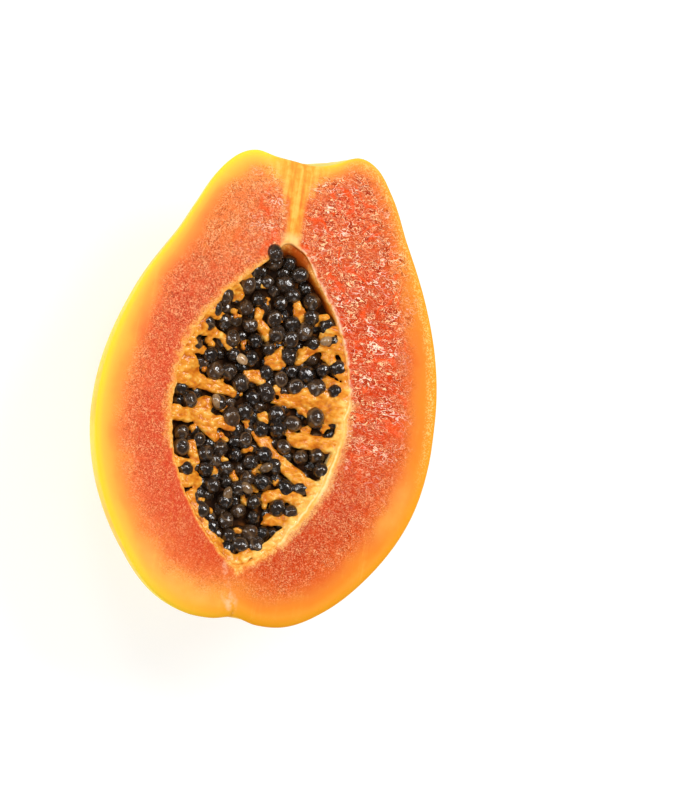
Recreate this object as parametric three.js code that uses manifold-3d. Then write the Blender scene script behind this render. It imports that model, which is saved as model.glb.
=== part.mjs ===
// Half of a ripe papaya, cut lengthwise through its stem and lying on its skin, cut face up.
// Millimetres, +Z up. +Y follows the fruit's axis from the blossom end to the stem end, and +X is
// the right-hand side as seen from above. The origin is under the middle of the half, on the
// surface that it rests on.
//
// The skin, the flesh and the strands of seed pulp grew as one piece and are one solid. The seeds
// are the other one: a mass of single seeds, held together by the bed of smaller ones under them.

import * as THREE from "three";
import { mergeVertices } from "three/addons/utils/BufferGeometryUtils.js";
import { LoftGeometry } from "three/addons/geometries/LoftGeometry.js";
import Module from "manifold-3d";

// Driving dimensions. The fruit is drawn in a frame of its own, with the cut face at z = 0 and the
// flesh below it, and is put on the surface at the end.

// Outline of the cut face: [degrees anticlockwise from the right, distance from the middle].
// The stem dent is near 90 degrees between its two lobes, and the blossom notch is near 270.
const CUT_OUTLINE = [
  [0, 62.3], [20, 62.9], [38, 66.3], [54, 73.0], [65, 82.3], [71, 87.3], [76, 87.8],
  [81, 82.3], [86, 79.6], [91, 79.8], [96, 80.7], [101, 82.7], [106, 81.1], [112, 75.8],
  [119, 68.6], [128, 62.3], [142, 58.1], [160, 55.7], [180, 56.6], [200, 60.2], [217, 64.9],
  [234, 71.2], [248, 77.6], [258, 79.6], [265, 78.8], [271, 77.0], [277, 79.2], [285, 80.0],
  [295, 77.6], [311, 72.6], [330, 67.9], [346, 64.2],
];
const DEPTH_SHARE = 0.97; // depth of the half against its half width
const FRUIT_LOBES = 5;
const LOBE_RISE = 0.012; // height of a lobe against the distance from the middle
// Dips in the skin behind the stem dent and the blossom notch, placed in degrees from the stem.
const END_DIPS = [
  { at: 14, width: 7, depth: 1.5 },
  { at: 172, width: 6, depth: 2.4 },
];
const FLAT_SPOT_DEPTH = 1.5; // how far the soft skin is pressed flat where it rests

// The seed cavity is a spindle: an arc turned about the axis, with a rounded end under the stem.
const CAVITY_CENTRE = new THREE.Vector3(-0.8, -4.8, 0);
const CAVITY_HALF_WIDTH = 30.8;
const CAVITY_HALF_LENGTH = 55.5;
const CAVITY_STEM_ROUND = 4; // radius of the rounded end
const CAVITY_DEPTH_SHARE = 0.92;

// The seeds: one layer on a hollow bed, whose depth under the cut face grows towards the middle.
const SEED_LENGTH = 6.8;
const SEED_WIDTH = 5.9;
const SEED_SPACING = 4.9;
const SEED_LIFT = 0.6; // a seed's middle above the bed
const SEED_LIFT_SPREAD = 1.6;
const SEED_MARGIN = 2.2; // from a seed's middle to the cavity's wall
const SEED_TRIES = 6000;
const SEED_DRAW = 7; // seed of the random draw
const BED_EDGE_DEPTH = 3.6;
const BED_MIDDLE_DEPTH = 8;
const BED_BOWL_SHARE = 2; // the bowl that hollows the bed, against the cavity's half width and length

// Strands of seed pulp: where each leaves the wall and where it ends on the cut face, and its thickness.
const SIDE_STRANDS = [
  { root: [-32, 17], tip: [-14, 13], thick: 4.0 },
  { root: [-34, 2], tip: [-10, -1], thick: 5.0 },
  { root: [-35, -11], tip: [-8, -14], thick: 4.6 },
  { root: [-34, -26], tip: [-20, -27], thick: 4.0 },
  { root: [-31, -35], tip: [-17, -34], thick: 4.6 },
  { root: [-21, 35], tip: [-12, 32], thick: 4.2 },
  { root: [32, 17], tip: [13, 16], thick: 4.8 },
  { root: [33, 1], tip: [8, -1], thick: 5.6 },
  { root: [33, -14], tip: [12, -13], thick: 5.2 },
  { root: [29, -30], tip: [-1, -14], thick: 4.2 },
  { root: [25, -37], tip: [6, -34], thick: 4.6 },
  { root: [19, -46], tip: [8, -42], thick: 4.8 },
];
const STRAND_ROOT_DEPTH = 4.2;
const STRAND_LIFT = 0.8; // a strand's middle above the seed bed
const STRAND_BEND = 1.6; // a strand's middle, off the straight line
const STRAND_SWELL = [1.3, 1.0, 0.9, 1.15, 0.95, 0.4]; // thickness along a strand, from root to tip

// Clumps of pulp among the seeds, each on a stalk from the back wall: its place, width and length.
const CLUMPS = [
  { at: [3, 11], size: [8.4, 6.6] },
  { at: [-3, 5], size: [6.8, 5.0] },
  { at: [-4, 24], size: [4.6, 7.4] },
  { at: [-19, -8], size: [7.4, 5.2] },
  { at: [2, -8], size: [4.4, 5.6] },
  { at: [8, 29], size: [5.4, 4.2] },
];
const CLUMP_HEIGHT = 5;
const CLUMP_LIFT = 2.2; // a clump's middle above the seed bed
const CLUMP_ROOT_DEPTH = 29;
const STALK_RADIUS = 1.4;
const SEED_ROOM = 1; // from a seed's middle to the side of a strand or clump

const GAP = 0.4; // between the seeds and what is round them

// How finely the round forms are divided.
const SEED_SIDES = 6;
const SEED_RINGS = 4;
const STRAND_SIDES = 6;
const STRAND_STEPS = 5;
const CLUMP_SIDES = 8;
const CLUMP_RINGS = 6;
const BOWL_SIDES = 28;
const BOWL_RINGS = 18;
const BLOCK_SIZE = 400; // the blocks that cut the fruit
const WELD = 1e-4; // corners nearer than this are one
const FRUIT_AROUND = 52;
const FRUIT_ALONG = 46;
const CAVITY_AROUND = 36;
const CAVITY_ALONG = 20;
const CAVITY_ROUND_STEPS = 3;

const FLESH_COLOUR = 0xee7440;
const SEED_COLOUR = 0x2b221d;
const FLESH_ROUGHNESS = 0.35;
const SEED_ROUGHNESS = 0.2;

const wasm = await Module();
wasm.setup();

// A closed three.js geometry as a manifold solid.
function solidOf(geometry) {
  const bare = new THREE.BufferGeometry();
  bare.setAttribute("position", geometry.attributes.position);
  bare.setIndex(geometry.index);
  const merged = mergeVertices(bare, WELD);
  return new wasm.Manifold(
    new wasm.Mesh({
      numProp: 3,
      vertProperties: new Float32Array(merged.attributes.position.array),
      triVerts: new Uint32Array(merged.index.array),
    }),
  );
}

function geometryOf(solid) {
  const mesh = solid.getMesh();
  const geometry = new THREE.BufferGeometry();
  geometry.setAttribute("position", new THREE.BufferAttribute(mesh.vertProperties, 3));
  geometry.setIndex(new THREE.BufferAttribute(mesh.triVerts, 1));
  geometry.computeVertexNormals();
  return geometry;
}

function largestBody(solid) {
  return solid.decompose().reduce((best, body) => (body.volume() > best.volume() ? body : best));
}

// Numbers from 0 to 1, the same on every run.
function randomNumbers(draw) {
  let state = draw;
  return () => {
    state = (state + 0x6d2b79f5) | 0;
    let mixed = Math.imul(state ^ (state >>> 15), state | 1);
    mixed = (mixed + Math.imul(mixed ^ (mixed >>> 7), mixed | 61)) ^ mixed;
    return ((mixed ^ (mixed >>> 14)) >>> 0) / 2 ** 32;
  };
}

// Radius of the cut outline at an angle: a smooth closed curve through the knots.
function cutRadius(degrees) {
  const count = CUT_OUTLINE.length;
  const angle = ((degrees % 360) + 360) % 360;
  const knot = (i) => {
    const turns = Math.floor(i / count);
    const [at, radius] = CUT_OUTLINE[i - turns * count];
    return { at: at + 360 * turns, radius };
  };
  const slope = (i) => (knot(i + 1).radius - knot(i - 1).radius) / (knot(i + 1).at - knot(i - 1).at);
  const i = CUT_OUTLINE.findLastIndex(([at]) => at <= angle);
  const span = knot(i + 1).at - knot(i).at;
  const t = (angle - knot(i).at) / span;
  return (
    (2 * t ** 3 - 3 * t ** 2 + 1) * knot(i).radius +
    (t ** 3 - 2 * t ** 2 + t) * span * slope(i) +
    (3 * t ** 2 - 2 * t ** 3) * knot(i + 1).radius +
    (t ** 3 - t ** 2) * span * slope(i + 1)
  );
}

// Depth of the dips in the skin at an angle from the stem.
function endDip(fromStem) {
  return END_DIPS.reduce(
    (sum, { at, width, depth }) => sum + depth * Math.exp(-(((fromStem - at) / width) ** 2)),
    0,
  );
}

// The whole fruit: a sphere with its poles at the stem and the blossom, each corner moved out to
// the skin. Turning about the axis, the skin goes smoothly from the outline's right to its left.
function wholeFruit() {
  const geometry = new THREE.SphereGeometry(1, FRUIT_AROUND, FRUIT_ALONG);
  const corners = geometry.attributes.position;
  const way = new THREE.Vector3();
  for (let i = 0; i < corners.count; i++) {
    way.fromBufferAttribute(corners, i).normalize();
    const fromStem = THREE.MathUtils.radToDeg(Math.acos(THREE.MathUtils.clamp(way.y, -1, 1)));
    const round = Math.atan2(way.z, way.x);
    const rightShare = (1 + Math.cos(round)) / 2;
    const smooth =
      rightShare * cutRadius(90 - fromStem) + (1 - rightShare) * cutRadius(90 + fromStem);
    const belly = 1 - way.y * way.y;
    const lobed = smooth * (1 - LOBE_RISE * belly * Math.sin(FRUIT_LOBES * round));
    const behind = Math.sin(round) ** 2;
    const radius = lobed - behind * endDip(fromStem);
    corners.setXYZ(i, way.x * radius, way.y * radius, way.z * radius * DEPTH_SHARE);
  }
  return solidOf(geometry);
}

// The cavity, drawn in by a gap. Its half profile runs from the blossom tip to the rounded stem end.
const arcRadius = (CAVITY_HALF_LENGTH ** 2 + CAVITY_HALF_WIDTH ** 2) / (2 * CAVITY_HALF_WIDTH);
const arcOffset = arcRadius - CAVITY_HALF_WIDTH;

function cavityHalfWidth(y, gap) {
  return Math.sqrt(Math.max((arcRadius - gap) ** 2 - y * y, arcOffset ** 2)) - arcOffset;
}

function arcPoints(centreX, centreY, radius, from, to, steps) {
  return Array.from({ length: steps + 1 }, (_, i) => {
    const angle = THREE.MathUtils.lerp(from, to, i / steps);
    const x = centreX + radius * Math.cos(angle);
    return new THREE.Vector2(x < WELD ? 0 : x, centreY + radius * Math.sin(angle));
  });
}

function cavity(gap) {
  const radius = arcRadius - gap;
  const tip = -Math.acos(arcOffset / radius);
  const roundRadius = CAVITY_STEM_ROUND - gap;
  const roundCentre = Math.sqrt((arcRadius - CAVITY_STEM_ROUND) ** 2 - arcOffset ** 2);
  const shoulder = Math.atan2(roundCentre, arcOffset);
  const profile = [
    ...arcPoints(-arcOffset, 0, radius, tip, shoulder, CAVITY_ALONG),
    ...arcPoints(0, roundCentre, roundRadius, shoulder, Math.PI / 2, CAVITY_ROUND_STEPS).slice(1),
  ];
  const geometry = new THREE.LatheGeometry(profile, CAVITY_AROUND);
  geometry.scale(1, 1, CAVITY_DEPTH_SHARE);
  geometry.translate(...CAVITY_CENTRE);
  return solidOf(geometry);
}

// The bowl that hollows the seed bed, and the bed's height at a place on the cut face.
const bowl = new THREE.Vector3(
  BED_BOWL_SHARE * CAVITY_HALF_WIDTH,
  BED_BOWL_SHARE * CAVITY_HALF_LENGTH,
  (BED_MIDDLE_DEPTH - BED_EDGE_DEPTH) / (1 - Math.sqrt(1 - 1 / BED_BOWL_SHARE ** 2)),
);
const bowlHeight = bowl.z - BED_MIDDLE_DEPTH;

function bedHeight(x, y) {
  const across = (x - CAVITY_CENTRE.x) / bowl.x;
  const along = (y - CAVITY_CENTRE.y) / bowl.y;
  return bowlHeight - bowl.z * Math.sqrt(1 - across * across - along * along);
}

function seedBed() {
  const geometry = new THREE.SphereGeometry(1, BOWL_SIDES, BOWL_RINGS);
  geometry.scale(bowl.x, bowl.y, bowl.z);
  geometry.translate(CAVITY_CENTRE.x, CAVITY_CENTRE.y, bowlHeight);
  return cavity(GAP).subtract(solidOf(geometry));
}

// A knotted strand: rings along a path, each with a radius of its own.
function strand(points, radii, gap) {
  const curve = new THREE.CatmullRomCurve3(points);
  const frames = curve.computeFrenetFrames(STRAND_STEPS);
  const sections = [];
  for (let i = 0; i <= STRAND_STEPS; i++) {
    const share = i / STRAND_STEPS;
    const middle = curve.getPointAt(share);
    if (i === 0) middle.addScaledVector(frames.tangents[i], -gap);
    if (i === STRAND_STEPS) middle.addScaledVector(frames.tangents[i], gap);
    const place = share * (radii.length - 1);
    const before = Math.min(Math.floor(place), radii.length - 2);
    const radius = THREE.MathUtils.lerp(radii[before], radii[before + 1], place - before) + gap;
    const ring = [];
    for (let side = 0; side < STRAND_SIDES; side++) {
      const turn = (2 * Math.PI * side) / STRAND_SIDES;
      ring.push(
        middle
          .clone()
          .addScaledVector(frames.normals[i], radius * Math.cos(turn))
          .addScaledVector(frames.binormals[i], radius * Math.sin(turn)),
      );
    }
    sections.push(ring);
  }
  return solidOf(new LoftGeometry(sections, { capStart: true, capEnd: true }));
}

function sideStrand({ root, tip, thick }, gap) {
  const start = new THREE.Vector3(...root, -STRAND_ROOT_DEPTH);
  const end = new THREE.Vector3(...tip, bedHeight(...tip) + STRAND_LIFT);
  const middle = start.clone().lerp(end, 0.5);
  middle.y += STRAND_BEND;
  middle.z = bedHeight(middle.x, middle.y) + STRAND_LIFT;
  return strand([start, middle, end], STRAND_SWELL.map((share) => (share * thick) / 2), gap);
}

function clump({ at, size }, gap) {
  const top = new THREE.Vector3(...at, bedHeight(...at) + CLUMP_LIFT);
  const root = new THREE.Vector3(...at, -CLUMP_ROOT_DEPTH);
  const geometry = new THREE.SphereGeometry(1, CLUMP_SIDES, CLUMP_RINGS);
  geometry.scale(size[0] / 2 + gap, size[1] / 2 + gap, CLUMP_HEIGHT / 2 + gap);
  geometry.translate(...top);
  return strand([root, top], [STALK_RADIUS, STALK_RADIUS], gap).add(solidOf(geometry));
}

function pulp(gap) {
  return [
    ...SIDE_STRANDS.map((place) => sideStrand(place, gap)),
    ...CLUMPS.map((place) => clump(place, gap)),
  ];
}

// Seeds fall one by one on the cut face, and stay where there is room for them.
function seedPlaces(random) {
  const places = [];
  const segments = SIDE_STRANDS.map(({ root, tip, thick }) => ({
    line: new THREE.Line3(new THREE.Vector3(...root, 0), new THREE.Vector3(...tip, 0)),
    thick,
  }));
  const nearest = new THREE.Vector3();
  for (let i = 0; i < SEED_TRIES; i++) {
    const x = CAVITY_CENTRE.x + (2 * random() - 1) * CAVITY_HALF_WIDTH;
    const y = CAVITY_CENTRE.y + (2 * random() - 1) * CAVITY_HALF_LENGTH;
    const at = new THREE.Vector3(x, y, 0);
    const wall = cavityHalfWidth(y - CAVITY_CENTRE.y, SEED_MARGIN);
    const inside = Math.abs(x - CAVITY_CENTRE.x) < wall;
    const clearOfSeeds = places.every((other) => other.distanceTo(at) > SEED_SPACING);
    const clearOfStrands = segments.every(({ line, thick }) => {
      line.closestPointToPoint(at, true, nearest);
      return nearest.distanceTo(at) > thick / 2 + SEED_ROOM;
    });
    const clearOfClumps = CLUMPS.every((clump) => {
      const across = (x - clump.at[0]) / (clump.size[0] / 2 + SEED_ROOM);
      const along = (y - clump.at[1]) / (clump.size[1] / 2 + SEED_ROOM);
      return Math.hypot(across, along) > 1;
    });
    if (inside && clearOfSeeds && clearOfStrands && clearOfClumps) places.push(at);
  }
  return places;
}

// Each seed lies on the bed, turned at random, and no higher than the cut face.
function seeds() {
  const random = randomNumbers(SEED_DRAW);
  return seedPlaces(random).map((place) => {
    const geometry = new THREE.SphereGeometry(1, SEED_SIDES, SEED_RINGS);
    geometry.scale(SEED_WIDTH / 2, SEED_LENGTH / 2, SEED_WIDTH / 2);
    geometry.rotateX((random() - 0.5) * Math.PI);
    geometry.rotateZ(random() * Math.PI);
    const lift = SEED_LIFT + (random() - 0.5) * SEED_LIFT_SPREAD;
    const height = Math.min(bedHeight(place.x, place.y) + lift, -SEED_WIDTH / 2);
    geometry.translate(place.x, place.y, height);
    return solidOf(geometry);
  });
}

// A block larger than the fruit, from a height upwards or downwards.
function block(height, upwards) {
  const geometry = new THREE.BoxGeometry(BLOCK_SIZE, BLOCK_SIZE, BLOCK_SIZE);
  geometry.translate(0, 0, height + (upwards * BLOCK_SIZE) / 2);
  return solidOf(geometry);
}

const join = (solids) => solids.reduce((whole, solid) => whole.add(solid));

const fruit = wholeFruit();
const lowest = fruit.boundingBox().min[2];
const knife = block(0, 1);
const floor = block(lowest + FLAT_SPOT_DEPTH, -1);
const half = fruit
  .subtract(cavity(0))
  .add(join(pulp(0)))
  .subtract(knife)
  .subtract(floor);
const seedMass = join([seedBed(), ...seeds()])
  .intersect(cavity(GAP))
  .subtract(join(pulp(GAP)))
  .subtract(knife);

function named(name, solid, colour, roughness) {
  const material = new THREE.MeshStandardMaterial({ color: colour, roughness, metalness: 0 });
  const mesh = new THREE.Mesh(geometryOf(solid), material);
  mesh.name = name;
  return mesh;
}

const papaya = new THREE.Group();
papaya.add(named("papaya_half", largestBody(half), FLESH_COLOUR, FLESH_ROUGHNESS));
papaya.add(named("seed_mass", largestBody(seedMass), SEED_COLOUR, SEED_ROUGHNESS));

// The half lies on the surface with its middle over the origin.
const box = new THREE.Box3().setFromObject(papaya);
const middle = box.getCenter(new THREE.Vector3());
papaya.position.set(-middle.x, -middle.y, -box.min.z);

const part = new THREE.Group();
part.add(papaya);
export default part;
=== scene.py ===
"""Looks of half a ripe papaya: skin, wet cut flesh, seeds and seed pulp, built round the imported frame."""
import math

import bpy
import numpy as np
from mathutils import Matrix, Vector, noise


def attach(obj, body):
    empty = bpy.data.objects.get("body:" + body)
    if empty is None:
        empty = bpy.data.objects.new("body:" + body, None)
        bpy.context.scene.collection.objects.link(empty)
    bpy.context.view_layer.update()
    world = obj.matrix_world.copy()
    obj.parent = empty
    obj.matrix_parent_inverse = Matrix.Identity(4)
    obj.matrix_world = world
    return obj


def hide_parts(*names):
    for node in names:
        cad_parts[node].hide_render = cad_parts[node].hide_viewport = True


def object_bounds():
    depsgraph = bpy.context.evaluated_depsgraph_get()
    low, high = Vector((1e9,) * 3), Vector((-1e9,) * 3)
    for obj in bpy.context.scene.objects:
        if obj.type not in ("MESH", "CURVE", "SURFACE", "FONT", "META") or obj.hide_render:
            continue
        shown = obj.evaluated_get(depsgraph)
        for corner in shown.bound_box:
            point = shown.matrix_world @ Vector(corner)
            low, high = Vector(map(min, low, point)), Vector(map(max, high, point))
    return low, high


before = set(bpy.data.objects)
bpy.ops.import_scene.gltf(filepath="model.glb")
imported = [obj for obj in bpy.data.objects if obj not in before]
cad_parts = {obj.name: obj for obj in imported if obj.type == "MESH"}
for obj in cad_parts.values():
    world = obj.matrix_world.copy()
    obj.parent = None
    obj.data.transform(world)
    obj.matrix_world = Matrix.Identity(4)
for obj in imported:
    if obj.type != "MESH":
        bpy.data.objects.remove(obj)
cad_low, cad_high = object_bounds()

MM = 0.001

# The fruit, in millimetres in its own frame: the cut face is z = 0, +Y is the stem end.
# Cut outline: (degrees anticlockwise from the right, distance from the middle).
CUT_OUTLINE = [
    (0, 62.3), (20, 62.9), (38, 66.3), (54, 73.0), (65, 82.3), (71, 87.3), (76, 87.8),
    (81, 82.3), (86, 79.6), (91, 79.8), (96, 80.7), (101, 82.7), (106, 81.1), (112, 75.8),
    (119, 68.6), (128, 62.3), (142, 58.1), (160, 55.7), (180, 56.6), (200, 60.2), (217, 64.9),
    (234, 71.2), (248, 77.6), (258, 79.6), (265, 78.8), (271, 77.0), (277, 79.2), (285, 80.0),
    (295, 77.6), (311, 72.6), (330, 67.9), (346, 64.2),
]
OUTLINE_SAMPLES = 1440
DEPTH_SHARE = 0.97
FRUIT_LOBES = 5
LOBE_RISE = 0.012
# Dips in the skin behind the two ends: (degrees from the stem, width in degrees, depth).
END_DIPS = [(14, 7, 1.5), (172, 6, 2.4)]

# The seed cavity: an arc turned about the axis, with a rounded end under the stem.
CAVITY_CENTRE = np.array([-0.8, -4.8])
CAVITY_HALF_WIDTH = 30.8
CAVITY_HALF_LENGTH = 55.5
CAVITY_STEM_ROUND = 4.0
CAVITY_DEPTH_SHARE = 0.92
ARC_RADIUS = (CAVITY_HALF_LENGTH**2 + CAVITY_HALF_WIDTH**2) / (2 * CAVITY_HALF_WIDTH)
ARC_OFFSET = ARC_RADIUS - CAVITY_HALF_WIDTH
ROUND_CENTRE = math.sqrt((ARC_RADIUS - CAVITY_STEM_ROUND) ** 2 - ARC_OFFSET**2)

# Edges of the cut face, how far they round inward and down. Spans are in degrees round the
# cavity, as (start, full, last full, end).
RIM_ROUND = 4.0
RIM_DROP = 2.2
LIP_ROUND = 1.6
LIP_DROP = 1.2
WIDE_LIP_ROUND = 2.2
WIDE_LIP_DROP = 2.2
WIDE_LIP_SPAN = (-80, -58, -20, 25)
SHARP_LIP_SPAN = (8, 25, 80, 92)
SHARP_LIP_SHARE = 0.45
CRISP_LIP_SPAN = (205, 225, 255, 272)
CRISP_LIP_SHARE = 0.6
# Where the visible edge of the cavity leaves the solids': (millimetres outward, span).
EDGE_SHIFTS = [(-3.0, (86, 98, 100, 155)), (2.2, (72, 82, 88, 94))]
LOWER_RIGHT_INSET = 2.4
# Unevenness of that edge: (height, size, draw).
EDGE_WAVES = [(0.6, 5.0, 11.0), (0.35, 1.8, 31.0)]
# The pale band on the wide lip: its fade over the face and down the wall, and its fibres' size.
BAND_FADE = 1.8
BAND_SUNK = (6.0, 1.0)
BAND_GRAIN = (0.8, 14.0, 1.0)

# How finely the half is divided.
AROUND = 576
SKIN_RINGS = 40
RIM_RINGS = 8
CUT_RINGS = 76
LIP_RINGS = 12
WALL_RINGS = 18
WALL_LEAST_DROP = 0.02
# Distances that mark the skin, and points far from the skin or the cavity.
ON_SKIN = -1.0
FAR = 30.0

# Strand of pale fibres from the stem dent to the cavity: (y, middle x, half width).
STEM_STRAND = [(50, 1.1, 3.0), (58, 1.2, 3.0), (66, 0.6, 4.0), (72, 0.2, 6.0), (80, 0.0, 10.0)]
# Pale band where the strand meets the cavity, laid out like the strand.
STEM_CREAM = [(50, -0.6, 4.6), (54, 0.2, 4.0)]
# Slits beside the strand: (x at the lower end, lean of x along y, lower y, upper y).
STEM_SLITS = [(-1.2, -0.15, 59, 68), (4.6, 0.04, 57, 68)]
# The hollow under the strand, beside the topmost seed, where the flesh is darkened with painted shade.
STEM_HOLLOW = (3.6, 46.0)
STEM_HOLLOW_REACH = 8.0
# Pale seam from the blossom notch towards the cavity: (y, x, half width), and the notch's crack.
BLOSSOM_SEAM = [(-76, -0.4, 1.0), (-71, -1.9, 2.2), (-67, -3.2, 0.8), (-60, -5.2, 0.7)]
BLOSSOM_CRACK = (-0.3, 0.05, -79, -73.5)
# Radius of the scars on the skin: at the blossom end and at the stem.
SCAR_RADII = (1.8, 5.5)

# How the flesh reddens towards the two ends, against the middle.
STEM_QUICKNESS = 0.8
SHOULDER_QUICKNESS = 0.4
BLOSSOM_PALENESS = 0.36

# The seeds, as in the solids.
SEED_LENGTH = 6.8
SEED_WIDTH = 5.9
SEED_SHAPE = Matrix.Diagonal((SEED_WIDTH / 2, SEED_LENGTH / 2, SEED_WIDTH / 2))
SEED_SPACING = 4.9
SEED_LIFT = 0.6
SEED_LIFT_SPREAD = 1.6
SEED_MARGIN = 2.2
SEED_TRIES = 6000
SEED_DRAW = 7
SEED_ROOM = 1.0
# Looks of the seeds: size, tone, lumps, and a raised ring beside a groove at one end.
TOP_SEED_SIZE = 1.0
SEED_SIZE_SPREAD = 0.28
SEED_TONE_DRAW = 11
SEED_SIDES = (28, 16)
SEED_LUMP = 0.07
SEED_LUMP_SIZE = 2.4
SEED_RING_AT = 0.70
SEED_GROOVE_AT = 0.86
SEED_RING_WIDTH = 0.07
SEED_RING_RISE = 0.03
# Deeper seeds in the gaps.
DEEP_SEED_CLEAR = 3.4
DEEP_SEED_SPACING = 4.2
DEEP_SEED_LIFT = -1.8
DEEP_SEED_SIZE = 0.95
# Seeds laid one by one: at the top of the cavity, and beside its wall.
LOOSE_SEEDS = [(-3.9, 47.2, -0.9), (-19.4, -38.8, -4.6), (-15.6, -45.6, -4.8)]
LOOSE_SEED_TURN = 0.6
# Pale seeds that never ripened: (x, y, turn in degrees, paleness).
PALE_SEEDS = [
    (-9, 10, 150, 1.0), (19.4, 21, 20, 0.6), (-0.4, -33, 140, 0.2),
    (-15.6, -5.6, 120, 0.5), (5.4, -25, 30, 0.0), (-7, -36, 80, 0.15),
]
PALE_SEED_SIZE = (2.5, 1.7, 1.3)
PALE_SEED_LIFT = 3.2
PALE_SEED_TIP = 0.3
PALE_SEED_SIDES = (20, 12)
PALE_SEED_LUMP = 0.18
PALE_SEED_LUMP_SIZE = 1.6

# The bed under the seeds, a shallow bowl.
BED_EDGE_DEPTH = 3.6
BED_MIDDLE_DEPTH = 8.0
BED_BOWL_SHARE = 2.0
BOWL = np.array([
    BED_BOWL_SHARE * CAVITY_HALF_WIDTH,
    BED_BOWL_SHARE * CAVITY_HALF_LENGTH,
    (BED_MIDDLE_DEPTH - BED_EDGE_DEPTH) / (1 - math.sqrt(1 - 1 / BED_BOWL_SHARE**2)),
])
BED_AROUND = 96
BED_RINGS = 14
BED_EDGE_GAP = 0.6
BED_SINK = 0.5
BED_WALL_GAP = 0.5
BED_LEAST = 0.3

# Pulp in the solids, which their seeds keep clear of: strands from root to tip, and clumps.
SIDE_STRANDS = [
    ((-32, 17), (-14, 13), 4.0), ((-34, 2), (-10, -1), 5.0), ((-35, -11), (-8, -14), 4.6),
    ((-34, -26), (-20, -27), 4.0), ((-31, -35), (-17, -34), 4.6), ((-21, 35), (-12, 32), 4.2),
    ((32, 17), (13, 16), 4.8), ((33, 1), (8, -1), 5.6), ((33, -14), (12, -13), 5.2),
    ((29, -30), (-1, -14), 4.2), ((25, -37), (6, -34), 4.6), ((19, -46), (8, -42), 4.8),
]
CLUMPS = [
    ((3, 11), (8.4, 6.6)), ((-3, 5), (6.8, 5.0)), ((-4, 24), (4.6, 7.4)),
    ((-19, -8), (7.4, 5.2)), ((2, -8), (4.4, 5.6)), ((8, 29), (5.4, 4.2)),
]

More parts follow.
